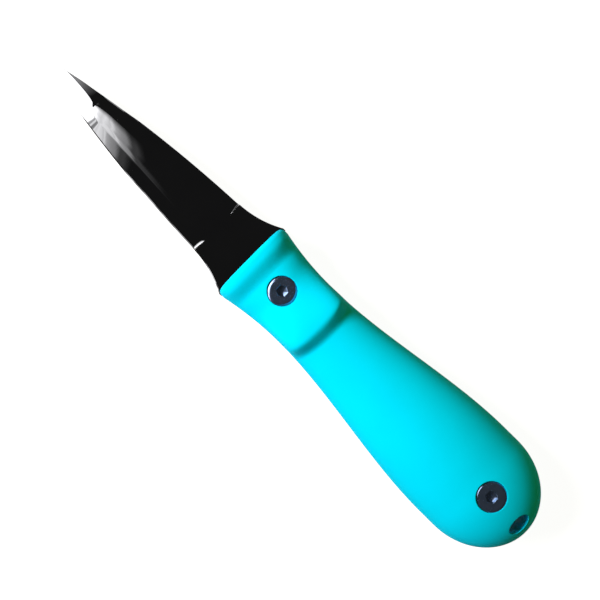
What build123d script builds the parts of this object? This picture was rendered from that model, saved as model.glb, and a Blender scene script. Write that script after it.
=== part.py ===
# Oyster knife: a short spear-shaped blade with a bent tip, held between two moulded handle halves.
# The knife lies on its lower handle half. +X runs towards the tip, +Z up through the thickness,
# and the origin is at the bottom centre of the whole knife.
from build123d import *
import os
from math import asin, cos, radians, sin, sqrt, tan

os.makedirs("parts", exist_ok=True)

# Driving dimensions, in millimetres. A reach is measured back from the blade's nose,
# a place is measured back from the handle's front face, and a margin forward from the butt end.

# Blade, seen from above
blade_reach = 79.3
nose_radius = 1.75
edge_belly = 1.24
flat_steel_length = 13.05
flat_steel_half_width = 9.23
plunge_half_width = 9.08
plunge_run = 1.05
shoulder_half_width = 13.15
shoulder_corner_depth = 0.6
shoulder_depth = 1.5
facet_end_reach = 10.5
facet_half_width = 1.5
ridge_land = 0.24
flat_start_reach = 15.3
flat_round_length = 3.0
flat_start_half_width = 2.05
flat_half_width = 5.3

# Blade, seen from the side
stock_thickness = 2.8
edge_thickness = 0.5
tang_relief = 0.1
relief_gap = 0.3
tip_bend_start = 13.8
tip_bend_end = 22.5
slow_bend_end = 38.3

# Tang
tang_half_width = 7.2
tang_end_margin = 9.0
tang_corner_radius = 5.0
tang_clearance = 0.15

# Handle, seen from above
handle_length = 111.3
collar_half_width = 13.0
collar_place = 2.5
waist_half_width = 10.97
waist_place = 22.2
palm_half_width = 17.15
palm_margin = 25.3
butt_round_length = 20.0
front_edge_round = 1.5

# Handle, seen from the side: heights of the surface above the blade's middle plane
rim_height = 10.2
rim_place = 2.6
dip_height = 8.4
dip_place = 8.2
rest_height = 8.5
rest_place = 12.8
crest_height = 11.4
crest_place = 27.4
neck_height = 8.55
neck_place = 32.5
swell_start_length = 18.8
palm_height = 13.0
crest_bow = 1.8

# Fasteners
front_fastener_place = 13.1
rear_fastener_margin = 16.5
head_diameter = 8.4
head_height = 2.0
head_edge_round = 0.5
head_clearance = 0.3
front_head_recess = 0.75
rear_head_recess = 0.95
barrel_diameter = 6.0
barrel_clearance = 0.1
screw_diameter = 3.9
thread_clearance = 0.1
screw_engagement = 9.0
bore_end_gap = 1.2
barrel_end_gap = 0.4
socket_across_flats = 3.0
socket_depth = 1.3

# Hanging slot
slot_margin = 4.7
slot_width = 4.2
slot_length = 7.2

cut_overrun = 1.0

# Angles, shares and counts
tip_bend_angle = 11.5
slow_bend_angle = 3.5
facet_width_share = 0.85
flare_start_share = 0.05
round_share = 0.5523
rim_fullness_share = 0.66
dip_fullness_share = 0.64
crest_fullness_share = 0.88
neck_fullness_share = 0.60
facet_section_count = 4
pinch_section_count = 5
rim_section_count = 2
dip_section_count = 4
rest_section_count = 2
rise_section_count = 5
step_section_count = 6
swell_section_count = 4
palm_section_count = 5
butt_angles = (0, 14, 28, 42, 55, 66, 75, 82, 87)
front_angles = (0, 18, 36, 54, 72, 90)
nose_angles = (8, 25, 45, 66)
blade_section_count = 20
section_crowding_share = 1.5

overall_length = blade_reach + handle_length
front_x = overall_length / 2 - blade_reach
nose_x = overall_length / 2
plunge_reach = blade_reach - flat_steel_length - plunge_run
tang_end_place = handle_length - tang_end_margin
palm_place = handle_length - palm_margin
rear_fastener_place = handle_length - rear_fastener_margin
slot_place = handle_length - slot_margin
swell_place = neck_place + swell_start_length
stock_half = stock_thickness / 2
tang_half_thickness = stock_half - tang_relief


def ease(share):
    """Rise from 0 to 1 with a flat start and a flat end."""
    share = min(max(share, 0), 1)
    return share * share * (3 - 2 * share)


def between(place, stations):
    """Read an eased value at a place from a list of (place, value) stations."""
    for (start, first), (end, last) in zip(stations, stations[1:]):
        if place <= end:
            return first + (last - first) * ease((place - start) / (end - start))
    return stations[-1][1]


def butt_share(place):
    """Half-width or height of the rounded butt end, as a share of the palm's."""
    along = max(0, place - handle_length + butt_round_length) / butt_round_length
    return sqrt(max(0, 1 - along * along))


# Handle

def handle_half_width(place):
    """The handle's outline from above: a flared collar, a waist, a palm swell and a round butt."""
    if place <= waist_place:
        flare = (waist_place - max(place, collar_place)) / (waist_place - collar_place)
        return waist_half_width + (collar_half_width - waist_half_width) * flare * flare
    swell = ease((place - waist_place) / (palm_place - waist_place))
    width = waist_half_width + (palm_half_width - waist_half_width) * swell
    return width * butt_share(place)


height_stations = (
    (0, rim_height),
    (rim_place, rim_height),
    (dip_place, dip_height),
    (rest_place, rest_height),
    (crest_place, crest_height),
    (neck_place, neck_height),
    (palm_place, palm_height),
)

fullness_stations = (
    (0, rim_fullness_share),
    (rim_place, rim_fullness_share),
    (dip_place, dip_fullness_share),
    (crest_place, crest_fullness_share),
    (neck_place, neck_fullness_share),
    (swell_place, round_share),
)

bow_stations = (
    (dip_place, 0),
    (crest_place, crest_bow),
    (neck_place, crest_bow),
    (swell_place, 0),
)


def handle_height(place):
    """Height of the handle's top line above the middle plane."""
    return between(place, height_stations) * butt_share(place)


def handle_section(place, inset=0):
    """One closed section of the whole handle. Its sides bow forward where the thumb rest ends."""
    x = front_x - place
    bow = between(place, bow_stations) if place > dip_place else 0
    side_x = x + bow
    width = handle_half_width(place - bow) - inset
    height = handle_height(place) - inset
    full = between(place, fullness_stations)
    quarters = []
    for side, top in ((-1, 1), (1, 1), (1, -1), (-1, -1)):
        points = [
            (side_x, side * width, 0),
            (side_x, side * width, top * full * height),
            (x, side * full * width, top * height),
            (x, 0, top * height),
        ]
        quarters.append(Edge.make_bezier(*(points if side * top < 0 else reversed(points))))
    return Wire(quarters)


def spread(start, end, count):
    """Evenly spaced places after the start, up to the end."""
    return [start + (end - start) * step / count for step in range(1, count + 1)]


def handle_body():
    """The whole handle without its cuts: a rounded front edge, then a loft to the butt's end."""
    rounding = []
    for angle in front_angles:
        turn = radians(angle)
        place = front_edge_round * (1 - cos(turn))
        rounding.append(handle_section(place, front_edge_round * (1 - sin(turn))))
    places = [front_edge_round]
    places += spread(front_edge_round, rim_place, rim_section_count)
    places += spread(rim_place, dip_place, dip_section_count)
    places += spread(dip_place, rest_place, rest_section_count)
    places += spread(rest_place, crest_place, rise_section_count)
    places += spread(crest_place, neck_place, step_section_count)
    places += spread(neck_place, swell_place, swell_section_count)
    places += spread(swell_place, palm_place, palm_section_count)
    butt_start = handle_length - butt_round_length
    places += [butt_start + butt_round_length * sin(radians(angle)) for angle in butt_angles]
    sections = [handle_section(place) for place in places]
    main = Solid.make_loft(sections + [Vertex(front_x - handle_length, 0, 0)])
    return main + Solid.make_loft(rounding, ruled=True)


def steel_plan(clearance):
    """The hidden steel from above: the shoulder, and behind it the tang with rounded corners."""
    shoulder = flared_plan() & Pos(front_x - shoulder_depth / 2 + relief_gap / 2, 0) * Rectangle(
        shoulder_depth + relief_gap, palm_half_width * 2
    )
    tang_length = tang_end_place - relief_gap
    tang = Pos(front_x - relief_gap - tang_length / 2, 0) * RectangleRounded(
        tang_length, tang_half_width * 2, tang_corner_radius
    )
    if clearance:
        shoulder = Pos(front_x - shoulder_depth / 2 - clearance / 2, 0) * Rectangle(
            shoulder_depth + clearance, palm_half_width * 2
        )
        tang = offset(tang, clearance)
    return shoulder + tang


def handle_half(body):
    """The upper half of the handle, hollowed for the steel and cut for the fasteners and slot."""
    half = split(body, Plane.XY, keep=Keep.TOP)
    half -= extrude(steel_plan(tang_clearance), tang_half_thickness)
    hole_radius = barrel_diameter / 2 + barrel_clearance
    for place, recess in fastener_rows:
        seat = head_seat(place, recess)
        drill = Cylinder(hole_radius, seat * 2)
        counterbore = Pos(0, 0, seat) * Cylinder(
            head_diameter / 2 + head_clearance,
            palm_height + cut_overrun - seat,
            align=(Align.CENTER, Align.CENTER, Align.MIN),
        )
        half -= Pos(front_x - place, 0, 0) * (drill + counterbore)
    slot = Pos(front_x - slot_place, 0) * SlotOverall(slot_length, slot_width, rotation=90)
    return half - extrude(slot, palm_height + cut_overrun)


# Blade

def edge_half_width(reach):
    """The blade's outline from above: a round nose, then two edges with a slight belly."""
    rise = plunge_half_width - nose_radius
    lean = asin(rise / (plunge_reach - nose_radius))
    nose_end = nose_radius * (1 - sin(lean))
    if reach <= nose_end:
        return sqrt(max(0, reach * (2 * nose_radius - reach)))
    share = (reach - nose_end) / (plunge_reach - nose_end)
    nose_width = nose_radius * cos(lean)
    chord = nose_width + (plunge_half_width - nose_width) * share
    return chord + 4 * edge_belly * share * (1 - share)


def flat_edge(reach):
    """Half-width of the flat between the bevels: a small facet on the tip, then, behind a ridge
    where the bevels nearly meet, the blade's own flat with a rounded start."""
    if reach < flat_start_reach:
        pinch = ease((reach - facet_end_reach) / (flat_start_reach - facet_end_reach))
        facet = facet_half_width + (ridge_land / 2 - facet_half_width) * pinch
        return min(facet, edge_half_width(reach) * facet_width_share)
    along = reach - flat_start_reach
    growth = (flat_half_width - flat_start_half_width) / (plunge_reach - flat_start_reach)
    flat = flat_start_half_width + growth * along
    if along < flat_round_length:
        flat *= sqrt(1 - (1 - along / flat_round_length) ** 2)
    return max(flat, ridge_land / 2)


def ridge_height(reach):
    """Half the blade's thickness at the flat. The tip's facet is thinner: its bevels keep one slope."""
    if reach >= flat_start_reach:
        return stock_half
    edge_half = edge_thickness / 2
    slope = (stock_half - edge_half) / (edge_half_width(flat_start_reach) - ridge_land / 2)
    return edge_half + (edge_half_width(reach) - flat_edge(reach)) * slope


def bend_drop(reach, start, end, angle):
    """How far one bend lowers the blade's middle: curved between two reaches, straight before."""
    slope = tan(radians(angle))
    if reach >= end:
        return 0
    if reach >= start:
        return slope * (end - reach) ** 2 / (2 * (end - start))
    return slope * ((start - reach) + (end - start) / 2)


def tip_drop(reach):
    """The tip's bend away from the upper side, in a slow part and a quick part."""
    quick = bend_drop(reach, tip_bend_start, tip_bend_end, tip_bend_angle)
    return quick + bend_drop(reach, tip_bend_end, slow_bend_end, slow_bend_angle)


def section_wire(reach, width, edge_half, ridge, height):
    """An eight-sided blade section: two flats, four bevels and two blunt edges."""
    x = nose_x - reach
    z = -tip_drop(reach)
    corners = [
        (x, -ridge, z + height),
        (x, ridge, z + height),
        (x, width, z + edge_half),
        (x, width, z - edge_half),
        (x, ridge, z - height),
        (x, -ridge, z - height),
        (x, -width, z - edge_half),
        (x, -width, z + edge_half),
    ]
    return Wire.make_polygon(corners, close=True)


def ground_section(reach):
    """The blade's section where its bevels are ground."""
    return section_wire(
        reach, edge_half_width(reach), edge_thickness / 2, flat_edge(reach), ridge_height(reach)
    )


def blade_reaches():
    """Reaches of the blade's sections: close together at the nose and where the flat begins."""
    nose = [nose_radius * (1 - cos(radians(angle))) for angle in nose_angles]
    count = blade_section_count
    tip = spread(nose_radius, facet_end_reach, facet_section_count)
    tip += spread(facet_end_reach, flat_start_reach, pinch_section_count)
    flat = [
        flat_start_reach
        + (plunge_reach - flat_start_reach) * (step / count) ** section_crowding_share
        for step in range(1, count + 1)
    ]
    return nose + [nose_radius] + tip + flat


def flared_plan():
    """Outline of the unground steel: from the plunge, flaring out to a square shoulder."""
    start = (nose_x - plunge_reach - plunge_run, flat_steel_half_width)
    corner = (front_x - shoulder_corner_depth, shoulder_half_width)
    end = (front_x - shoulder_depth, shoulder_half_width)
    sides = []
    for side in (1, -1):
        flare_start = (start[0], side * start[1])
        flare_end = (corner[0], side * corner[1])
        sides.append(TangentArc(flare_start, flare_end, tangent=(-1, side * flare_start_share)))
        sides.append(Line(flare_end, (end[0], side * end[1])))
    front = Line(start, (start[0], -start[1]))
    back = Line(end, (end[0], -end[1]))
    return make_face([*sides, front, back])


def blade_piece():
    """The whole piece of steel: ground blade, plunge, flat steel, shoulder and tang."""
    ground = Solid.make_loft([ground_section(reach) for reach in blade_reaches()], ruled=True)
    plunge_end = plunge_reach + plunge_run
    plunge = Solid.make_loft(
        [
            ground_section(plunge_reach),
            section_wire(
                plunge_end, flat_steel_half_width, stock_half, flat_half_width, stock_half
            ),
        ],
        ruled=True,
    )
    showing = flared_plan() & Pos(front_x + relief_gap + handle_length / 2, 0) * Rectangle(
        handle_length, palm_half_width * 2
    )
    exposed = extrude(showing, stock_half, both=True)
    hidden = extrude(steel_plan(0), tang_half_thickness, both=True)
    steel = exposed + hidden + plunge + ground
    hole_radius = barrel_diameter / 2 + barrel_clearance
    for place, recess in fastener_rows:
        steel -= Pos(front_x - place, 0, 0) * Cylinder(hole_radius, stock_thickness + cut_overrun)
    return steel


# Fasteners

fastener_rows = (
    (front_fastener_place, front_head_recess),
    (rear_fastener_place, rear_head_recess),
)


def head_seat(place, recess):
    """Height of the counterbore's floor, where a fastener's head sits."""
    return handle_height(place) - recess - head_height


def fastener_head(seat):
    """A round head with a rounded rim and a hexagon socket."""
    head = Pos(0, 0, seat) * Cylinder(
        head_diameter / 2, head_height, align=(Align.CENTER, Align.CENTER, Align.MIN)
    )
    rim = head.edges().filter_by(GeomType.CIRCLE).sort_by(Axis.Z)[-1]
    head = fillet(rim, head_edge_round)
    floor = seat + head_height - socket_depth
    hexagon = RegularPolygon(socket_across_flats / 2, 6, major_radius=False)
    return head - Pos(0, 0, floor) * extrude(hexagon, socket_depth + cut_overrun)


def upright_rod(radius, bottom, top):
    """A round rod along Z between two heights."""
    middle = (bottom + top) / 2
    return Pos(0, 0, middle) * Cylinder(radius, top - bottom)


def screw_piece(place, recess):
    """A screw from the upper side, with its thread drawn as a plain shank."""
    seat = head_seat(place, recess)
    shank = upright_rod(screw_diameter / 2, seat - screw_engagement, seat)
    return Pos(front_x - place, 0, 0) * (fastener_head(seat) + shank)


def barrel_nut_piece(place, recess):
    """A sleeve nut from the lower side, which reaches up to just under the screw's head."""
    seat = head_seat(place, recess)
    barrel = upright_rod(barrel_diameter / 2, -seat, seat - barrel_end_gap)
    nut = mirror(fastener_head(seat), Plane.XY) + barrel
    bore_floor = seat - screw_engagement - bore_end_gap
    bore_radius = screw_diameter / 2 + thread_clearance
    nut -= upright_rod(bore_radius, bore_floor, seat + cut_overrun)
    return Pos(front_x - place, 0, 0) * nut


# The whole knife, raised so that the handle's underside is at zero
body = handle_body()
upper_half = handle_half(body)
pieces = {
    "blade": blade_piece(),
    "upper_handle_scale": upper_half,
    "lower_handle_scale": mirror(upper_half, Plane.XY),
    "front_screw": screw_piece(front_fastener_place, front_head_recess),
    "front_barrel_nut": barrel_nut_piece(front_fastener_place, front_head_recess),
    "rear_screw": screw_piece(rear_fastener_place, rear_head_recess),
    "rear_barrel_nut": barrel_nut_piece(rear_fastener_place, rear_head_recess),
}
for name, piece in pieces.items():
    export_step(Pos(0, 0, palm_height) * piece, f"parts/{name}.step")
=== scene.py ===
from math import asin, atan2, cos, pi, radians, sin, sqrt, tan
import bpy
import bmesh
from mathutils import Matrix, Vector


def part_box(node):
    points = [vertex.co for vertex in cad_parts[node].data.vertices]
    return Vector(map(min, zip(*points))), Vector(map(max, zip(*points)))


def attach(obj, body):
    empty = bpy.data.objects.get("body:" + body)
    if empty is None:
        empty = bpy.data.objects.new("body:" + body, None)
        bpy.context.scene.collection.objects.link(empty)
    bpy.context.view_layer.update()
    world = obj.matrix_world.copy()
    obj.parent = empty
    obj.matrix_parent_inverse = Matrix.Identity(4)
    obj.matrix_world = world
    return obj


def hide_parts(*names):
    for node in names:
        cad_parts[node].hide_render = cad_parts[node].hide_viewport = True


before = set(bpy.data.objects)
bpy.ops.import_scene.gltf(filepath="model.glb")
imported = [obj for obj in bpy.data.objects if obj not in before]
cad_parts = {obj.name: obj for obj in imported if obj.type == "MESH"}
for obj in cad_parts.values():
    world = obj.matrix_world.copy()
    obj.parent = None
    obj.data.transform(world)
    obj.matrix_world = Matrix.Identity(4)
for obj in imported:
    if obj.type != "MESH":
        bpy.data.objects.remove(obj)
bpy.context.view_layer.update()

mm = 0.001

# Places in the frame: the knife lies along X with its tip towards +X
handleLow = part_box("upper_handle_scale")[0]
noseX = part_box("blade")[1].x / mm
buttX = handleLow.x / mm
middleZ = handleLow.z / mm      # height of the blade's middle plane
print("frame: nose", round(noseX, 2), "butt", round(buttX, 2), "middle", round(middleZ, 2))


def ease(share):
    share = min(max(share, 0.0), 1.0)
    return share * share * (3 - 2 * share)


def between(place, stations):
    # value at a place, eased from one (place, value) station to the next
    for (start, first), (end, last) in zip(stations, stations[1:]):
        if place <= end:
            return first + (last - first) * ease((place - start) / (end - start))
    return stations[-1][1]


def spread(start, end, count):
    # evenly spaced places after the start, the last of them at the end
    return [start + (end - start) * step / count for step in range(1, count + 1)]


def meshPiece(name, bm, material, node):
    # turns a finished bmesh, in millimetres about the middle plane, into a piece of the knife
    bmesh.ops.transform(bm, matrix=Matrix.Translation((0, 0, middleZ)), verts=bm.verts)
    bmesh.ops.recalc_face_normals(bm, faces=bm.faces)
    if bm.calc_volume(signed=True) < 0:      # all faces looked inwards
        bmesh.ops.reverse_faces(bm, faces=bm.faces)
    bmesh.ops.transform(bm, matrix=Matrix.Scale(mm, 4), verts=bm.verts)
    mesh = bpy.data.meshes.new(name)
    bm.to_mesh(mesh)
    bm.free()
    piece = bpy.data.objects.new(name, mesh)
    bpy.context.collection.objects.link(piece)
    mesh.materials.append(material)
    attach(piece, "root")
    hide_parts(node)
    return piece


def combine(bm, other, operation):
    # exact union or difference of two closed meshes, both in millimetres
    holders = []
    for solid in (bm, other):
        mesh = bpy.data.meshes.new("solid")
        solid.to_mesh(mesh)
        solid.free()
        holder = bpy.data.objects.new("solid", mesh)
        bpy.context.collection.objects.link(holder)
        holders.append(holder)
    change = holders[0].modifiers.new("change", "BOOLEAN")
    change.object = holders[1]
    change.operation = operation
    change.solver = "EXACT"
    shown = holders[0].evaluated_get(bpy.context.evaluated_depsgraph_get())
    result = bmesh.new()
    result.from_mesh(shown.to_mesh())
    for holder in holders:
        mesh = holder.data
        bpy.data.objects.remove(holder)
        bpy.data.meshes.remove(mesh)
    return result


def bridge(bm, first, second, closed=True):
    # quads between two rows of as many points, or triangles where the rows share a point
    count = len(first) if closed else len(first) - 1
    for i in range(count):
        j = (i + 1) % len(first)
        distinct = list(dict.fromkeys((first[i], first[j], second[j], second[i])))
        if len(distinct) > 2:
            bm.faces.new(distinct)


def sharpen(piece, degrees):
    piece.data.shade_smooth()
    piece.data.set_sharp_from_angle(angle=radians(degrees))


# Shader maths: a small class wraps a socket, so that sums and products make nodes
class Wire:
    def __init__(self, tree, socket):
        self.tree = tree
        self.socket = socket

    def __add__(self, other):
        return self.tree.maths("ADD", self, other)

    def __sub__(self, other):
        return self.tree.maths("SUBTRACT", self, other)

    def __rsub__(self, other):
        return self.tree.maths("SUBTRACT", other, self)

    def __mul__(self, other):
        return self.tree.maths("MULTIPLY", self, other)

    def __truediv__(self, other):
        return self.tree.maths("DIVIDE", self, other)

    def __pow__(self, other):
        return self.tree.maths("POWER", self, other)

    __radd__ = __add__
    __rmul__ = __mul__


class Tree:
    # builds the nodes of one material or of the world: add() takes a node's type, its settings,
    # and its sockets' values or links
    def __init__(self, owner, outlet="ShaderNodeOutputMaterial"):
        self.owner = owner
        owner.use_nodes = True
        self.nodes = owner.node_tree.nodes
        self.links = owner.node_tree.links
        self.nodes.clear()
        self.outlet = self.nodes.new(outlet)

    def add(self, kind, settings=None, sockets=(), output=0):
        node = self.nodes.new(kind)
        for key, value in (settings or {}).items():
            if key == "stops":
                ramp = node.color_ramp
                while len(ramp.elements) < len(value):
                    ramp.elements.new(0.5)
                for stop, (place, colour) in zip(ramp.elements, value):
                    stop.position = place
                    stop.color = colour
            else:
                setattr(node, key, value)
        pairs = sockets.items() if isinstance(sockets, dict) else enumerate(sockets)
        for key, value in pairs:
            if isinstance(value, Wire):
                self.links.new(value.socket, node.inputs[key])
            elif value is not None:
                node.inputs[key].default_value = value
        return Wire(self, node.outputs[output])

    def finish(self, surface):
        self.links.new(surface.socket, self.outlet.inputs["Surface"])
        return self.owner

    def maths(self, operation, *values):
        return self.add("ShaderNodeMath", {"operation": operation}, values)

    def rays(self, *kinds):
        node = self.add("ShaderNodeLightPath").socket.node
        return [Wire(self, node.outputs["Is " + kind + " Ray"]) for kind in kinds]

    def place(self):
        return self.add("ShaderNodeTexCoord", output="Object")

    def axes(self, vector):
        node = self.add("ShaderNodeSeparateXYZ", sockets=(vector,)).socket.node
        return [Wire(self, node.outputs[axis]) for axis in "XYZ"]

    def noise(self, vector, scale, detail=2.0, roughness=0.5):
        values = {"Vector": vector, "Scale": scale, "Detail": detail, "Roughness": roughness}
        return self.add("ShaderNodeTexNoise", sockets=values)

    def stretched(self, vector, scale):
        return self.add("ShaderNodeMapping", sockets={"Vector": vector, "Scale": scale})

    def ramp(self, value, low, high, start=0.0, end=1.0):
        # start up to low, end from high on
        return self.add("ShaderNodeMapRange", {"clamp": True}, (value, low, high, start, end))

    def blend(self, share, first, second):
        settings = {"data_type": "RGBA"}
        return self.add("ShaderNodeMix", settings, {0: share, 6: first, 7: second}, output=2)

    def bump(self, height, distance, normal=None):
        values = {"Height": height, "Distance": distance, "Strength": 1.0, "Normal": normal}
        return self.add("ShaderNodeBump", sockets=values)

    def principled(self, **values):
        sockets = {key.replace("_", " "): value for key, value in values.items()}
        return self.add("ShaderNodeBsdfPrincipled", sockets=sockets)


# Polished dark steel of the blade
bladeFinish = {
    "flatColour": (0.190, 0.190, 0.195, 1),
    "groundColour": (0.165, 0.165, 0.170, 1),
    "roughness": 0.02,
    "smear": 0.02, "smearSpan": (0.45, 0.75),        # how much rougher the handled areas are
    "grindRoughness": 0.01,
    "cloudScale": 90, "tintSpan": (0.3, 0.8),
    "grindScale": 2600, "grindStretch": (1, 0.04, 0.04),     # lines per metre along the blade
    "grindDepth": 0.0000006,
    "waveScale": 120, "waveStretch": (1, 0.5, 1),
    "waveDepth": 0.000012,
}


def bladeSteel():
    look = bladeFinish
    tree = Tree(bpy.data.materials.new("bladeSteel"))
    place = tree.place()
    fine = tree.noise(tree.stretched(place, look["grindStretch"]), look["grindScale"], 3.0)
    cloud = tree.noise(place, look["cloudScale"], 4.0, 0.6)
    smudge = tree.ramp(cloud, *look["smearSpan"])
    wave = tree.noise(tree.stretched(place, look["waveStretch"]), look["waveScale"], 1.0)
    tint = tree.ramp(cloud, *look["tintSpan"])
    colour = tree.blend(tint, look["groundColour"], look["flatColour"])
    rough = look["roughness"] + look["smear"] * smudge + look["grindRoughness"] * fine
    normal = tree.bump(wave, look["waveDepth"])
    normal = tree.bump(fine, look["grindDepth"], normal)
    steel = tree.principled(Base_Color=colour, Metallic=1.0, Roughness=rough, Normal=normal)
    return tree.finish(steel)


# Matte moulded plastic of the handle
plasticFinish = {
    "colour": (0.0, 0.70, 0.97, 1),
    "deepColour": (0.0, 0.67, 0.93, 1),
    "roughness": 0.58, "cloudRoughness": 0.08, "poreRoughness": 0.05,
    "specular": 0.04,
    "cloudScale": 55, "tintSpan": (0.35, 0.65),
    "grainScale": 5200, "grainDepth": 0.000012,
    "poreScale": 1560, "poreShare": 0.6,
}


def handlePlastic():
    look = plasticFinish
    tree = Tree(bpy.data.materials.new("handlePlastic"))
    place = tree.place()
    cloud = tree.noise(place, look["cloudScale"], 3.0)
    grain = tree.noise(place, look["grainScale"], 2.0)
    pores = tree.noise(place, look["poreScale"], 1.0)
    tint = tree.ramp(cloud, *look["tintSpan"])
    colour = tree.blend(tint, look["deepColour"], look["colour"])
    rough = look["roughness"] + look["cloudRoughness"] * cloud + look["poreRoughness"] * pores
    normal = tree.bump(grain + look["poreShare"] * pores, look["grainDepth"])
    plastic = tree.principled(Base_Color=colour, Roughness=rough, Normal=normal,
                              Specular_IOR_Level=look["specular"])
    return tree.finish(plastic)


# Dark blued steel of the fasteners
fastenerFinish = {
    "colour": (0.19, 0.27, 0.43, 1),
    "wornColour": (0.24, 0.31, 0.49, 1),
    "grazingColour": (0.30, 0.40, 0.40, 1),
    "metallic": 0.93,
    "roughness": 0.08, "cloudRoughness": 0.10,
    "cloudScale": 700, "tintSpan": (0.4, 0.7),
    "turningPitch": 0.00018,   # metres between the turning marks on a head's face
    "turningDepth": 0.0000010,
}


def fastenerSteel(name, centreX):
    look = fastenerFinish
    tree = Tree(bpy.data.materials.new(name))
    place = tree.place()
    x, y = tree.axes(place)[:2]
    across = x - centreX
    radius = (across * across + y * y) ** 0.5
    turning = tree.maths("SINE", radius * (2 * pi / look["turningPitch"]))
    cloud = tree.noise(place, look["cloudScale"], 3.0)
    colour = tree.blend(tree.ramp(cloud, *look["tintSpan"]), look["colour"], look["wornColour"])
    rough = look["roughness"] + look["cloudRoughness"] * cloud
    normal = tree.bump(turning, look["turningDepth"])
    steel = tree.principled(Base_Color=colour, Metallic=look["metallic"], Roughness=rough,
                            Normal=normal, Specular_Tint=look["grazingColour"])
    return tree.finish(steel)


# Handle. Places are millimetres behind the front face, heights are above the middle plane.
handle = {
    "length": 111.3,
    "collarHalfWidth": 13.0, "collarPlace": 2.5,
    "waistHalfWidth": 10.97, "waistPlace": 22.2,
    "palmHalfWidth": 17.15, "palmPlace": 86.0,
    "buttRound": 20.0,
    "frontRound": 1.5, "frontTurns": (12, 25, 38, 51, 64, 77, 90),
    "rim": (2.6, 10.2, 0.72),        # place, height and fullness of the front rim
    "dip": (7.8, 8.2, 0.58),         # the low part of the thumb rest
    "rest": (12.8, 8.5, 0.50),       # where it starts to rise
    "crest": (27.6, 11.4, 0.88),     # its high end
    "neck": (32.0, 8.30, 0.60),      # the foot of the step behind it
    "swell": (51.3, 0.5523),         # where the section is round again
    "palmHeight": 13.0,
    "bow": 1.8,                      # how far the step's sides run forward
    "seam": 0.12,                    # small chamfer along the parting line
    "slotMargin": 4.7, "slotWidth": 4.2, "slotLength": 7.2,
    "slotRound": (0.05, 0.12),       # rounding of its edge in the upper and in the lower half
    # the mesh: rows as far as a little behind the neck, to the butt and round it; columns across
    "neckRun": 4.0, "rows": (60, 50, 36), "buttTurn": 88.5, "buttHeight": 0.15,
    "seamColumns": (0.008, 0.03, 0.06), "columns": 34,
    # rings round each hole, and how far they reach in front of, behind and beside the slot
    "holeRings": 7, "roundingRings": 5, "slotPatch": (3.1, 3.7, 5.4),
    "bowTries": 8, "halvings": 22,   # how closely the surface is found at a point
    "sharpAngle": 32,
}
frontX = buttX + handle["length"]

# Fasteners: place behind the front face and how deep the head lies under the surface. They stand
# here because the handle is made round them.
fastener = {
    "frontPlace": 13.1, "frontRecess": 0.55, "frontHeadRadius": 4.2, "frontPatch": (6.2, 6.2, 7.0),
    "rearPlace": 94.65, "rearRecess": 0.60, "rearHeadRadius": 4.36, "rearPatch": (5.6, 5.4, 7.0),
    "headHeight": 2.0, "headRound": 0.9, "headTurn": 40, "turnStep": 5, "faceShare": 0.7,
    "seatGap": 0.12, "seatRound": 0.22,
    "holeRadius": 3.1, "barrelRadius": 3.0, "screwRadius": 1.95, "boreRadius": 2.05,
    "socketAcross": 3.0, "socketDepth": 1.3, "pointDepth": 0.5,
    "sinkWidth": 0.14, "sinkDepth": 0.07,        # small countersink round the socket
    "engagement": 9.0, "boreGap": 1.2, "barrelGap": 0.4, "screwChamfer": 0.3,
    "points": 72, "sharpAngle": 30,
}


def buttShare(place):
    along = max(0.0, place - handle["length"] + handle["buttRound"]) / handle["buttRound"]
    return sqrt(max(0.0, 1 - along * along))


def halfWidth(place):
    h = handle
    waist, collar = h["waistPlace"], h["collarPlace"]
    if place <= waist:
        flare = (waist - max(place, collar)) / (waist - collar)
        return h["waistHalfWidth"] + (h["collarHalfWidth"] - h["waistHalfWidth"]) * flare * flare
    swell = ease((place - waist) / (h["palmPlace"] - waist))
    width = h["waistHalfWidth"] + (h["palmHalfWidth"] - h["waistHalfWidth"]) * swell
    return width * buttShare(place)


def sectionShape(place):
    # half-width is read where the bowed sides are, height and fullness on the middle line
    h = handle
    bowStations = ((h["dip"][0], 0), (h["crest"][0], h["bow"]), (h["neck"][0], h["bow"]),
                   (h["swell"][0], 0))
    heights = ((0, h["rim"][1]), h["rim"][:2], h["dip"][:2], h["rest"][:2], h["crest"][:2],
               h["neck"][:2], (h["palmPlace"], h["palmHeight"]))
    fullness = ((0, h["rim"][2]), h["rim"][::2], h["dip"][::2], h["rest"][::2], h["crest"][::2],
                h["neck"][::2], h["swell"])
    bow = between(place, bowStations) if place > h["dip"][0] else 0.0
    height = between(place, heights) * buttShare(place)
    return halfWidth(place - bow), height, between(place, fullness), bow


def sectionPoint(shape, t):
    # one quarter of a section, from the side (t = 0) to the top line (t = 1)
    width, height, full, bow = shape
    u = 1 - t
    side = u ** 3 + 3 * u * u * t
    y = width * (side + 3 * full * u * t * t)
    z = height * (3 * full * u * u * t + 3 * u * t * t + t ** 3)
    return bow * side, y, z


def surfaceAt(place, y):
    # height of the handle's surface over a point of its plan
    station = place
    for closer in range(handle["bowTries"]):       # finds the section that the bow brings here
        shape = sectionShape(station)
        low, high = 0.0, 1.0
        for halving in range(handle["halvings"]):  # finds the point of it at y
            t = (low + high) / 2
            if sectionPoint(shape, t)[1] > abs(y):
                low = t
            else:
                high = t
        forward, side, z = sectionPoint(shape, (low + high) / 2)
        station = place + forward
    return z


def planPoint(place, y, z, side):
    return (frontX - place, y, z * side)


def headSeat(place, recess):
    return sectionShape(place)[1] - recess - fastener["headHeight"]


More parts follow.
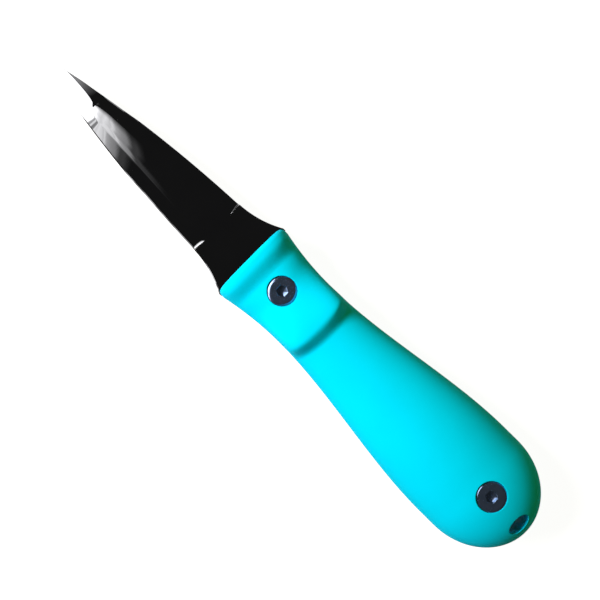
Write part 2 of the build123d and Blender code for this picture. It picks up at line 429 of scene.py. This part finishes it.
def holeLoop(place, seatRadius, grow, angles):
    # points round a hole's outline, grown outwards, in a list of directions from its centre
    points = []
    for angle in angles:
        dx, dy = cos(angle), sin(angle)
        if seatRadius:
            reach = seatRadius + grow
        else:      # the slot is an oval
            reach = 1 / sqrt((dx / (handle["slotWidth"] / 2 + grow)) ** 2
                             + (dy / (handle["slotLength"] / 2 + grow)) ** 2)
        points.append((place + reach * dx, reach * dy))
    return points


def handleRows():
    # place of each row of the mesh, and how far the front's rounding draws its section in
    h = handle
    rows = [(0.0, h["frontRound"])]
    for angle in h["frontTurns"]:
        turn = radians(angle)
        rows.append((h["frontRound"] * (1 - cos(turn)), h["frontRound"] * (1 - sin(turn))))
    toNeck, toButt, roundButt = h["rows"]
    buttStart = h["length"] - h["buttRound"]
    places = spread(rows[-1][0], h["neck"][0] + h["neckRun"], toNeck)
    places += spread(places[-1], buttStart, toButt)
    places += [buttStart + h["buttRound"] * sin(radians(angle))
               for angle in spread(0, h["buttTurn"], roundButt)]
    return rows + [(place, 0.0) for place in places]


def closeEnds(bm, grid, side):
    # the chamfer along the parting line, the end of the butt and the flat front face
    h = handle
    leftEdge, rightEdge = [], []
    for row in grid:
        for column, edge in ((0, leftEdge), (-1, rightEdge)):
            x, y, z = row[column].co
            inward = min(h["seam"], abs(y) / 2)
            edge.append(bm.verts.new((x, y + inward if y < 0 else y - inward, 0)))
    bridge(bm, leftEdge, [row[0] for row in grid], closed=False)
    bridge(bm, rightEdge, [row[-1] for row in grid], closed=False)
    pole = bm.verts.new((frontX - h["length"], 0, h["buttHeight"] * side))
    foot = bm.verts.new((frontX - h["length"] + h["seam"], 0, 0))
    bm.faces.new((foot, leftEdge[-1], grid[-1][0], pole))
    bm.faces.new((pole, grid[-1][-1], rightEdge[-1], foot))
    for first, second in zip(grid[-1], grid[-1][1:]):
        bm.faces.new((pole, first, second))
    bm.faces.new([leftEdge[0], *grid[0], rightEdge[0]])


def handleHoles():
    # place, radius of the seat, depth of the head and reach of the rings; the slot has no seat
    f = fastener
    holes = [(f[end + "Place"], f[end + "HeadRadius"] + f["seatGap"], f[end + "Recess"],
              f[end + "Patch"]) for end in ("front", "rear")]
    return holes + [(handle["length"] - handle["slotMargin"], None, None, handle["slotPatch"])]


def fitHole(bm, border, place, seatRadius, recess, side):
    # rings from a border in the grid to the hole's rounded edge, then down its walls
    h = handle
    rounding = fastener["seatRound"] if seatRadius else h["slotRound"][side < 0]
    outer = [(frontX - corner.co.x, corner.co.y) for corner in border]
    angles = [atan2(y, x - place) for x, y in outer]
    edge = holeLoop(place, seatRadius, rounding, angles)
    rings = [border]

    def addRing(points):
        rings.append([bm.verts.new(planPoint(x, y, z, side)) for x, y, z in points])
        bridge(bm, rings[-2], rings[-1])

    for share in spread(0, 1, h["holeRings"]):
        plan = [(ox + (ex - ox) * share, oy + (ey - oy) * share)
                for (ox, oy), (ex, ey) in zip(outer, edge)]
        addRing([(x, y, surfaceAt(x, y)) for x, y in plan])
    for turn in spread(0, pi / 2, h["roundingRings"]):
        drop = rounding * (1 - cos(turn))
        plan = holeLoop(place, seatRadius, rounding * (1 - sin(turn)), angles)
        addRing([(x, y, surfaceAt(x, y) - drop) for x, y in plan])
    walls = [(0.0, 0.0)]
    if seatRadius:
        seat = headSeat(place, recess)
        inner = fastener["holeRadius"] - seatRadius
        walls = [(0.0, seat), (inner, seat), (inner, 0.0)]
    for grow, height in walls:
        addRing([(x, y, height) for x, y in holeLoop(place, seatRadius, grow, angles)])


def handleHalf(side):
    # a grid of rows along the handle and columns across it, with a patch of rings at each hole
    h = handle
    bm = bmesh.new()
    rows = handleRows()
    columns = [*h["seamColumns"], *spread(h["seamColumns"][-1], 1.0, h["columns"])]
    grid = []
    for place, inset in rows:
        width, height, full, bow = sectionShape(place)
        shape = (width - inset, height - inset, full, bow)
        row = []
        for sign, steps in ((-1, columns), (1, columns[-2::-1])):
            for t in steps:
                forward, y, z = sectionPoint(shape, t)
                row.append(bm.verts.new(planPoint(place - forward, sign * y, z, side)))
        grid.append(row)
    closeEnds(bm, grid, side)
    last = len(grid[0]) - 1
    middle = (last + 1) // 2
    patches = []
    for place, seatRadius, recess, (ahead, behind, aside) in handleHoles():
        inside = [r for r, (p, inset) in enumerate(rows) if place - ahead < p < place + behind]
        r0, r1 = inside[0], inside[-1]
        count = max(k for k in range(middle) if abs(grid[r0][middle + k].co.y) < aside)
        patches.append((place, seatRadius, recess, r0, r1, middle - count, middle + count))
    skipped = {(r, c) for *hole, r0, r1, c0, c1 in patches
               for r in range(r0, r1) for c in range(c0, c1)}
    for r in range(len(grid) - 1):
        for c in range(last):
            if (r, c) not in skipped:
                bm.faces.new((grid[r][c], grid[r][c + 1], grid[r + 1][c + 1], grid[r + 1][c]))
    for place, seatRadius, recess, r0, r1, c0, c1 in patches:
        border = [grid[r0][c] for c in range(c0, c1)] + [grid[r][c1] for r in range(r0, r1)]
        border += [grid[r1][c] for c in range(c1, c0, -1)] + [grid[r][c0] for r in range(r1, r0, -1)]
        fitHole(bm, border, place, seatRadius, recess, side)
    # the flat underside fills what is still open
    openEdges = [edge for edge in bm.edges if edge.is_boundary]
    bmesh.ops.triangle_fill(bm, use_beauty=True, use_dissolve=False, edges=openEdges)
    bmesh.ops.recalc_face_normals(bm, faces=bm.faces)
    return combine(bm, steelPocket(side), "DIFFERENCE")


# Blade. Reaches are millimetres behind the nose.
blade = {
    "reach": 79.3, "noseRadius": 1.75,
    "belly": 1.24,                   # how far each edge stands off a straight line
    "flatSteel": 13.05,              # steel in front of the handle that isn't ground
    "plungeRun": 1.05, "plungeHalfWidth": 9.08,      # the round end of the grind
    "flatSteelHalfWidth": 9.23, "flareStart": 0.05,
    "shoulderHalfWidth": 13.15, "cornerDepth": 0.6, "shoulderDepth": 1.5,
    # the rounded facet on the tip and the ridge behind it
    "facetEnd": 15.6, "facetHalfWidth": 1.8, "facetShare": 0.95, "ridgeLand": 0.12,
    "tipSlope": 0.235,
    "swingStart": 15.2, "swing": 0.55,
    # the blade's flat: it opens fast, then widens evenly as far as the end of the grind
    "flatStart": 16.4, "flatRound": 4.6,
    "flatStartHalfWidth": 0.8, "flatFullHalfWidth": 2.3, "flatHalfWidth": 5.3,
    # the two edges are ground unalike: share of the difference at each reach
    "fullSide": 0.32, "fullStations": ((0, 0), (8, 0), (18, 1), (36, 1), (46, 0)),
    "leanSide": 0.18, "leanStations": ((0, 0), (6, 0), (14, 1), (22, 1), (30, 0)),
    "stock": 2.8, "edge": 0.5,
    "edgeChamfer": 0.32, "noseChamfer": 0.03, "chamferStart": 14.2, "chamferRun": 4.5,
    "arris": 0.3, "hold": 0.08, "crown": 0.09, "leastBevel": 0.01,
    # bends, from the tip back: a slight curl, the bend itself and a slow one behind it
    "curlStart": 1.0, "curlAngle": 2.8,
    "bendStart": 13.8, "bendEnd": 22.5, "bendAngle": 10.8,
    "slowEnd": 38.3, "slowAngle": 3.5,
    "tangHalfWidth": 7.2, "tangMargin": 9.0, "tangCorner": 5.0, "cornerStep": 10,
    "tangThinning": 0.1,             # on each face
    "tangRoot": 0.4,                 # how far the tang reaches into the shoulder
    "tangClearance": 0.15, "pocketLead": 1.0, "holePoints": 48,
    # the mesh: sections from the nose back, and steps round half a section
    "noseTurn": 78, "noseRows": 13, "tipRows": 40, "stepRun": 0.002, "openingRun": 1.2,
    "openingRows": 10, "bendRows": 70, "bodyRows": 50, "plungeRows": 12, "shoulderRows": 24,
    "bevelSteps": 5, "arrisSteps": 6, "flatSteps": 5,
    "sharpAngle": 9,
}
plungeReach = blade["reach"] - blade["flatSteel"] - blade["plungeRun"]
pocketHeight = blade["stock"] / 2 - blade["tangThinning"]
tangEnd = handle["length"] - blade["tangMargin"]


def tangOutline(grow):
    # half of the tang's outline: (place, half-width) from the shoulder to the rounded end
    width = blade["tangHalfWidth"] + grow
    end = tangEnd + grow
    corner = blade["tangCorner"] + grow
    points = [(blade["shoulderDepth"] + grow, width)]
    for angle in range(0, 91, blade["cornerStep"]):
        turn = radians(angle)
        points.append((end - corner + corner * sin(turn), width - corner + corner * cos(turn)))
    return points


def prism(outline, low, high):
    bm = bmesh.new()
    bottom = [bm.verts.new((x, y, low)) for x, y in outline]
    top = [bm.verts.new((x, y, high)) for x, y in outline]
    bm.faces.new(bottom)
    bm.faces.new(top)
    bridge(bm, bottom, top)
    bmesh.ops.recalc_face_normals(bm, faces=bm.faces)
    return bm


def bothSides(half):
    # a closed outline from (place, half-width) points
    return [(frontX - x, y) for x, y in half] + [(frontX - x, -y) for x, y in reversed(half)]


def addTang(bm):
    # the hidden tang runs on from the shoulder, with a hole for each sleeve nut
    half = [(blade["shoulderDepth"] - blade["tangRoot"], blade["tangHalfWidth"]), *tangOutline(0)[1:]]
    bm = combine(bm, prism(bothSides(half), -pocketHeight, pocketHeight), "UNION")
    turns = [2 * pi * i / blade["holePoints"] for i in range(blade["holePoints"])]
    radius = fastener["holeRadius"]
    for end in ("front", "rear"):
        centreX = frontX - fastener[end + "Place"]
        hole = [(centreX + radius * cos(turn), radius * sin(turn)) for turn in turns]
        bm = combine(bm, prism(hole, -blade["stock"], blade["stock"]), "DIFFERENCE")
    return bm


def steelPocket(side):
    # the room that one handle half leaves for the shoulder and the tang
    grow = blade["tangClearance"]
    wide = handle["palmHalfWidth"] + grow
    back = blade["shoulderDepth"] + grow
    half = [(-blade["pocketLead"], wide), (back, wide)] + tangOutline(grow)
    return prism(bothSides(half), *sorted((-side, pocketHeight * side)))


def edgeHalfWidth(reach):
    b = blade
    rise = b["plungeHalfWidth"] - b["noseRadius"]
    lean = asin(rise / (plungeReach - b["noseRadius"]))
    noseEnd = b["noseRadius"] * (1 - sin(lean))
    if reach <= noseEnd:
        return sqrt(max(0.0, reach * (2 * b["noseRadius"] - reach)))
    if reach > plungeReach:
        return flaredHalfWidth(reach)
    share = (reach - noseEnd) / (plungeReach - noseEnd)
    noseWidth = b["noseRadius"] * cos(lean)
    chord = noseWidth + (b["plungeHalfWidth"] - noseWidth) * share
    return chord + 4 * b["belly"] * share * (1 - share)


def flaredHalfWidth(reach):
    # short ramp out of the grind, then an arc that ends at the shoulder's corner
    b = blade
    start = plungeReach + b["plungeRun"]
    if reach < start:
        share = (reach - plungeReach) / b["plungeRun"]
        return b["plungeHalfWidth"] + (b["flatSteelHalfWidth"] - b["plungeHalfWidth"]) * share
    along = b["reach"] + b["cornerDepth"] - start
    rise = b["shoulderHalfWidth"] - b["flatSteelHalfWidth"]
    lean = atan2(b["flareStart"], 1)
    turn = atan2(rise, along) - lean
    radius = sqrt(along * along + rise * rise) / (2 * sin(turn))
    x = min(reach - start, along) + radius * sin(lean)
    return b["flatSteelHalfWidth"] + radius * cos(lean) - sqrt(radius * radius - x * x)


def flatEdge(reach):
    # half-width of the rounded facet on the tip, of the ridge behind it, then of the blade's flat
    b = blade
    if reach < b["flatStart"]:
        facet = b["facetHalfWidth"] * sqrt(max(0.0, 1 - (reach / b["facetEnd"]) ** 2))
        return min(max(facet, b["ridgeLand"]), edgeHalfWidth(reach) * b["facetShare"])
    along = min(reach, plungeReach) - b["flatStart"]
    full = b["flatFullHalfWidth"]
    if along < b["flatRound"]:
        opened = sqrt(along / b["flatRound"])
        return b["flatStartHalfWidth"] + (full - b["flatStartHalfWidth"]) * opened
    growth = (b["flatHalfWidth"] - full) / (plungeReach - b["flatStart"] - b["flatRound"])
    return full + growth * (along - b["flatRound"])


def ridgeHeight(reach):
    # the tip's ridge ends at a small step, a little lower than the flat behind it
    b = blade
    if reach >= b["flatStart"]:
        return b["stock"] / 2
    return b["edge"] / 2 + (edgeHalfWidth(reach) - flatEdge(reach)) * b["tipSlope"]


def bendDrop(reach, start, end, angle):
    # how far a bend between two reaches has lowered the blade, which is straight again beyond it
    slope = tan(radians(angle))
    if reach >= end:
        return 0.0
    if reach >= start:
        return slope * (end - reach) ** 2 / (2 * (end - start))
    return slope * ((start - reach) + (end - start) / 2)


def tipDrop(reach):
    b = blade
    quick = bendDrop(reach, b["bendStart"], b["bendEnd"], b["bendAngle"])
    curl = bendDrop(reach, b["curlStart"], b["bendStart"], b["curlAngle"])
    return curl + quick + bendDrop(reach, b["bendEnd"], b["slowEnd"], b["slowAngle"])


def ridgeShift(reach):
    # just before the flat one bevel's grind runs over the middle line
    b = blade
    swing = (reach - b["swingStart"]) / (b["flatStart"] - b["swingStart"])
    return b["swing"] * ease(swing) if reach < b["flatStart"] else 0.0


def sideOutline(span, ridge, high, edgeHalf, chamfer, crown):
    # half of a section's upper outline, from the edge to the middle of the ridge:
    # small chamfer, bevel, rounded arris, slightly crowned flat
    b = blade
    slope = (high - crown - edgeHalf) / max(span - ridge, b["leastBevel"])
    arris = min(b["arris"], ridge / 2, (span - ridge) / 2)
    bevelEnd = ridge + arris
    hold = min(b["hold"], (span - chamfer - bevelEnd) / 3)
    places = [span - chamfer, *spread(span - chamfer, bevelEnd + hold, b["bevelSteps"]), bevelEnd]
    half = [(span, edgeHalf - chamfer / 2)]
    half += [(y, edgeHalf + (span - y) * slope) for y in places]
    for turn in spread(0, 1, b["arrisSteps"]):
        # a parabola from the bevel into the flat
        half.append((ridge + arris * (1 - 2 * turn), high - crown - arris * slope * (1 - turn) ** 2))
    flat = spread(ridge - arris, 0, b["flatSteps"])
    return half + [(y, high - crown * (y / ridge) ** 2) for y in flat]


def bladeRow(bm, reach):
    # one closed section: upper side from -Y to +Y, then the lower side back
    b = blade
    width = edgeHalfWidth(reach)
    ridge = flatEdge(reach)
    high = ridgeHeight(reach)
    edgeHalf = b["edge"] / 2
    if reach > plungeReach:      # the wheel's round end lifts the bevel to the full thickness
        share = min(1.0, (reach - plungeReach) / b["plungeRun"])
        lift = 1 - sqrt(max(0.0, 1 - share * share))
        edgeHalf += (b["stock"] / 2 - edgeHalf) * lift
    grown = ease((reach - b["chamferStart"]) / b["chamferRun"])
    chamfer = b["noseChamfer"] + (b["edgeChamfer"] - b["noseChamfer"]) * grown
    crown = b["crown"] * ridge / b["flatHalfWidth"] if reach > b["flatStart"] else 0.0
    shift = ridgeShift(reach)
    full = b["fullSide"] * between(reach, b["fullStations"])
    lean = b["leanSide"] * between(reach, b["leanStations"])
    left = sideOutline(width - lean + shift, ridge, high, edgeHalf, chamfer, crown)
    right = sideOutline(width + full - shift, ridge, high, edgeHalf, chamfer, crown)
    upper = [(shift - y, h) for y, h in left] + [(shift + y, h) for y, h in right[-2::-1]]
    x = noseX - reach
    z = -tipDrop(reach)
    row = [bm.verts.new((x, y, z + h)) for y, h in upper]
    return row + [bm.verts.new((x, y, z - h)) for y, h in reversed(upper)]


def bladeReaches():
    # where the sections stand; a pair of them makes the small step where the flat starts
    b = blade
    noseAngles = spread(0, b["noseTurn"], b["noseRows"])
    reaches = [b["noseRadius"] * (1 - cos(radians(angle))) for angle in noseAngles]
    reaches += spread(reaches[-1], b["flatStart"] - b["stepRun"], b["tipRows"]) + [b["flatStart"]]
    reaches += spread(b["flatStart"], b["flatStart"] + b["openingRun"], b["openingRows"])
    reaches += spread(reaches[-1], b["slowEnd"], b["bendRows"])
    reaches += spread(b["slowEnd"], plungeReach, b["bodyRows"])
    plungeAngles = spread(0, 90, b["plungeRows"])
    reaches += [plungeReach + b["plungeRun"] * sin(radians(angle)) for angle in plungeAngles]
    reaches += spread(reaches[-1], b["reach"] + b["cornerDepth"], b["shoulderRows"])
    return reaches + [b["reach"] + b["shoulderDepth"]]


def bladePiece():
    bm = bmesh.new()
    rows = [bladeRow(bm, reach) for reach in bladeReaches()]
    tip = bm.verts.new((noseX, 0, -tipDrop(0)))
    for i in range(len(rows[0])):
        bm.faces.new((tip, rows[0][i], rows[0][(i + 1) % len(rows[0])]))
    for first, second in zip(rows, rows[1:]):
        bridge(bm, first, second)
    # quads from the upper side to the lower close the shoulder's end
    half = len(rows[-1]) // 2
    bridge(bm, rows[-1][:half], rows[-1][:half - 1:-1], closed=False)
    bmesh.ops.recalc_face_normals(bm, faces=bm.faces)
    return addTang(bm)


# Fasteners, turned about their own axes
def ringAt(bm, centreX, radius, z, hexagon=False):
    # points about a fastener's axis; a hexagon's radius is the one to its flats
    ring = []
    for i in range(fastener["points"]):
        angle = 2 * pi * i / fastener["points"]
        offFlat = (angle + pi / 6) % (pi / 3) - pi / 6
        reach = radius / cos(offFlat) if hexagon else radius
        ring.append(bm.verts.new((centreX + reach * cos(angle), reach * sin(angle), z)))
    return ring


def fastenerPiece(end, side, isNut):
    f = fastener
    headRadius = f[end + "HeadRadius"]
    centreX = frontX - f[end + "Place"]
    seat = headSeat(f[end + "Place"], f[end + "Recess"])
    top = seat + f["headHeight"]
    socket = f["socketAcross"] / 2
    bm = bmesh.new()
    rows = []

    def turned(radius, z, hexagon=False):
        rows.append(ringAt(bm, centreX, radius, z * side, hexagon))

    if isNut:      # the bore and the barrel reach past the middle plane, towards the screw
        reach = seat - f["barrelGap"]
        boreFloor = seat - f["engagement"] - f["boreGap"]
        turned(f["boreRadius"], -boreFloor)
        turned(f["boreRadius"], -reach)
        turned(f["barrelRadius"], -reach)
        turned(f["barrelRadius"], seat)
    else:
        turned(f["screwRadius"] - f["screwChamfer"], seat - f["engagement"])
        turned(f["screwRadius"], seat - f["engagement"] + f["screwChamfer"])
        turned(f["screwRadius"], seat)
    turned(headRadius, seat)
    curve = f["headRound"] / sin(radians(f["headTurn"]))
    for degrees in range(f["headTurn"], -1, -f["turnStep"]):
        turn = radians(degrees)
        turned(headRadius - f["headRound"] + curve * sin(turn), top - curve * (1 - cos(turn)))
    turned(headRadius * f["faceShare"], top)
    turned(socket + f["sinkWidth"] / 2, top, True)
    turned(socket, top - f["sinkDepth"], True)
    turned(socket, top - f["socketDepth"], True)
    for first, second in zip(rows, rows[1:]):
        bridge(bm, first, second)
    bm.faces.new(rows[0])
    point = bm.verts.new((centreX, 0, (top - f["socketDepth"] - f["pointDepth"]) * side))
    for i in range(len(rows[-1])):
        bm.faces.new((point, rows[-1][i], rows[-1][(i + 1) % len(rows[-1])]))
    bmesh.ops.recalc_face_normals(bm, faces=bm.faces)
    return bm


print("building the handle")
plastic = handlePlastic()
for name, side in (("upper", 1), ("lower", -1)):
    half = meshPiece(name + "Half", handleHalf(side), plastic, name + "_handle_scale")
    sharpen(half, handle["sharpAngle"])

print("building the blade")
bladeObject = meshPiece("bladeSteelPiece", bladePiece(), bladeSteel(), "blade")
sharpen(bladeObject, blade["sharpAngle"])

print("building the fasteners")
for end in ("front", "rear"):
    steel = fastenerSteel(end + "FastenerSteel", (frontX - fastener[end + "Place"]) * mm)
    for isNut, node, side in ((False, "_screw", 1), (True, "_barrel_nut", -1)):
        shape = fastenerPiece(end, side, isNut)
        name = end + ("SleeveNut" if isNut else "Screw")
        piece = meshPiece(name, shape, steel, end + node)
        sharpen(piece, fastener["sharpAngle"])

# Studio: a pale floor, a soft key light towards the tip, and a camera straight above. What polished
# steel sees round about is drawn in the world; its places are slopes along and across the knife.
studio = {
    "scale": 0.288,                 # millimetres per pixel of the photograph at the middle plane
    "pictureSize": 600, "sensor": 36.0,
    "cameraHeight": 330.0,          # above the middle plane
    "noseToCentre": 339.3, "sideToCentre": -6.7,   # the frame's centre, in pixels from the nose
    "tipRight": -0.7120, "tipUp": 0.7022,          # direction of the tip in the picture
    "cameraAside": 8.5,             # the camera stands this far towards +Y, its picture shifted back
    "floorSize": 6.0, "floorDrop": 0.0002,         # metres
    "floorColour": (0.25, 0.25, 0.25, 1), "floorGlow": 0.95,
    "fillColour": (1.0, 1.0, 0.12, 1), "fillSpan": (-1.0, 0.3), "fillStrengths": (0.26, 0.05),
    "ceilingStrength": 0.035,
    "horizon": (0.05, 0.2), "horizonStrength": 0.1,
    "lowestView": 0.05,             # what lies lower is read as if it were this high
    # the panel: where it fades in and out across and along, and its glow along the knife
    "panelStrength": 6.5,
    "panelNear": (-0.070, -0.025), "panelFar": (3.5, 4.5), "panelEnd": (3.5, 4.5),
    "panelStops": ((0.180, 0.000), (0.198, 0.010), (0.214, 0.028), (0.238, 0.028), (0.252, 0.090),
                   (0.264, 0.166), (0.290, 0.215), (0.316, 0.300), (0.330, 0.500), (0.337, 0.560),
                   (0.346, 0.420), (0.362, 0.520), (0.420, 0.620), (0.490, 0.520), (0.571, 0.680),
                   (0.640, 1.000)),
    # it leans: between a start and an end across, its places along shift from one amount to another
    "panelSlants": ((-0.06, 0.0, -0.04, 0.0), (0.02, 0.07, 0.0, 0.045), (0.07, 0.75, 0.0, -0.20)),
    "panelWidening": (0.9, 1.2, 0.0, 0.3),       # its near side moves out past these places along
    # dark seams over the panel's far part: place, half-width and depth
    "panelBars": ((0.914, 0.026, 0.62), (0.845, 0.050, 0.40), (0.775, 0.030, 0.75)),
    "barsNear": (0.55, 0.7),
    # a weaker strip past the knife's tip
    "stripStrength": 1.15,
    "stripFade": (1.19, 1.37), "stripEnd": (1.75, 1.95),
    "stripFar": (-0.90, -0.82), "stripNear": (-0.12, -0.05),
    "keyHeight": 420.0,             # above the middle plane
    "keyStart": 205.0, "keyEnd": 505.0,      # the light's reach along the knife
    "keyNear": 105.0, "keyFar": 400.0,       # and across it, towards the photograph's lower left
    "keyPower": 7.8, "keyColour": (1.0, 1.0, 1.0),
}


def studioFloor():
    # paper that takes shadows, and that the camera and polished steel see nearly white
    bpy.ops.mesh.primitive_plane_add(size=studio["floorSize"], location=(0, 0, -studio["floorDrop"]))
    floor = bpy.context.object
    floor.name = "studioFloor"
    tree = Tree(bpy.data.materials.new("floorPaper"))
    camera, glossy, through = tree.rays("Camera", "Glossy", "Transmission")
    shown = tree.maths("MINIMUM", camera + glossy + through, 1.0)
    paper = tree.add("ShaderNodeBsdfDiffuse", sockets={"Color": studio["floorColour"]})
    glow = {"Color": (1, 1, 1, 1), "Strength": studio["floorGlow"]}
    lit = tree.add("ShaderNodeAddShader", sockets=(paper, tree.add("ShaderNodeEmission", sockets=glow)))
    surface = tree.add("ShaderNodeMixShader", sockets=(shown, paper, lit))
    floor.data.materials.append(tree.finish(surface))


def panelGlow(tree, along, across):
    # the soft light as polished steel sees it: a panel that fades along the knife
    places = [place for place, glow in studio["panelStops"]]
    first, last = places[0], places[-1]
    stops = [((place - first) / (last - first), (glow, glow, glow, 1))
             for place, glow in studio["panelStops"]]
    leaning = along
    for limits in studio["panelSlants"]:
        leaning = leaning + tree.ramp(across, *limits)
    panel = tree.add("ShaderNodeValToRGB", {"stops": stops}, (tree.ramp(leaning, first, last),))
    near = across + tree.ramp(along, *studio["panelWidening"])
    panel = panel * tree.ramp(near, *studio["panelNear"])
    panel = panel * tree.ramp(across, *studio["panelFar"], 1.0, 0.0)
    panel = panel * tree.ramp(along, *studio["panelEnd"], 1.0, 0.0)
    for place, width, depth in studio["panelBars"]:
        seam = tree.ramp(tree.maths("ABSOLUTE", along - place), width, width * 2, 1.0, 0.0)
        panel = panel * (1 - seam * tree.ramp(across, *studio["barsNear"]) * depth)
    return panel


def stripGlow(tree, along, across):
    strip = tree.ramp(along, *studio["stripFade"]) * tree.ramp(along, *studio["stripEnd"], 1.0, 0.0)
    strip = strip * tree.ramp(across, *studio["stripFar"])
    return strip * tree.ramp(across, *studio["stripNear"], 1.0, 0.0)


def studioWorld():
    # white for the camera, a dim ceiling with the panel and the strip for polished steel, and a
    # coloured fill for all else
    world = bpy.data.worlds.new("studio")
    bpy.context.scene.world = world
    tree = Tree(world, "ShaderNodeOutputWorld")
    camera, glossy, through = tree.rays("Camera", "Glossy", "Transmission")
    white = tree.maths("MAXIMUM", camera, through)
    x, y, up = tree.axes(tree.add("ShaderNodeTexCoord", output="Generated"))
    height = tree.maths("MAXIMUM", up, studio["lowestView"])
    along, across = x / height, y / height
    steelSees = panelGlow(tree, along, across) * studio["panelStrength"]
    steelSees = steelSees + stripGlow(tree, along, across) * studio["stripStrength"]
    steelSees = steelSees + studio["ceilingStrength"]
    steelSees = steelSees + tree.ramp(up, *studio["horizon"], studio["horizonStrength"], 0.0)
    fill = tree.ramp(y, *studio["fillSpan"], *studio["fillStrengths"])
    strength = white + (1 - white) * (glossy * steelSees + (1 - glossy) * fill)
    colour = tree.blend(tree.maths("MAXIMUM", white, glossy), studio["fillColour"], (1, 1, 1, 1))
    tree.finish(tree.add("ShaderNodeBackground", sockets=(colour, strength)))


def keyLight():
    lamp = bpy.data.lights.new("keyLight", "AREA")
    lamp.shape = "RECTANGLE"
    lamp.size = (studio["keyEnd"] - studio["keyStart"]) * mm
    lamp.size_y = (studio["keyFar"] - studio["keyNear"]) * mm
    lamp.energy = studio["keyPower"]
    lamp.color = studio["keyColour"]
    holder = bpy.data.objects.new("keyLight", lamp)
    holder.visible_glossy = False    # steel sees the panel in the world instead
    bpy.context.collection.objects.link(holder)
    along = (studio["keyStart"] + studio["keyEnd"]) / 2
    across = (studio["keyNear"] + studio["keyFar"]) / 2
    holder.location = Vector((along, across, middleZ + studio["keyHeight"])) * mm


def studioCamera():
    data = bpy.data.cameras.new("camera")
    camera = bpy.data.objects.new("camera", data)
    bpy.context.collection.objects.link(camera)
    pictureWidth = studio["pictureSize"] * studio["scale"]
    data.sensor_width = studio["sensor"]
    data.lens = studio["sensor"] * studio["cameraHeight"] / pictureWidth
    # the picture's right and up directions, written along the knife's own X and Y
    right = Vector((studio["tipRight"], -studio["tipUp"], 0)).normalized()
    up = Vector((studio["tipUp"], studio["tipRight"], 0)).normalized()
    turn = Matrix((right, up, Vector((0, 0, 1)))).transposed()
    aside = Vector((0, studio["cameraAside"], 0))
    data.shift_x = -aside.dot(right) / pictureWidth
    data.shift_y = -aside.dot(up) / pictureWidth
    centreX = noseX - studio["noseToCentre"] * studio["scale"]
    centreY = studio["sideToCentre"] * studio["scale"]
    place = (Vector((centreX, centreY, middleZ + studio["cameraHeight"])) + aside) * mm
    camera.matrix_world = Matrix.Translation(place) @ turn.to_4x4()
    bpy.context.scene.camera = camera


print("setting up the studio")
studioFloor()
studioWorld()
keyLight()
studioCamera()
bpy.context.scene.view_settings.view_transform = "Standard"

print("done")
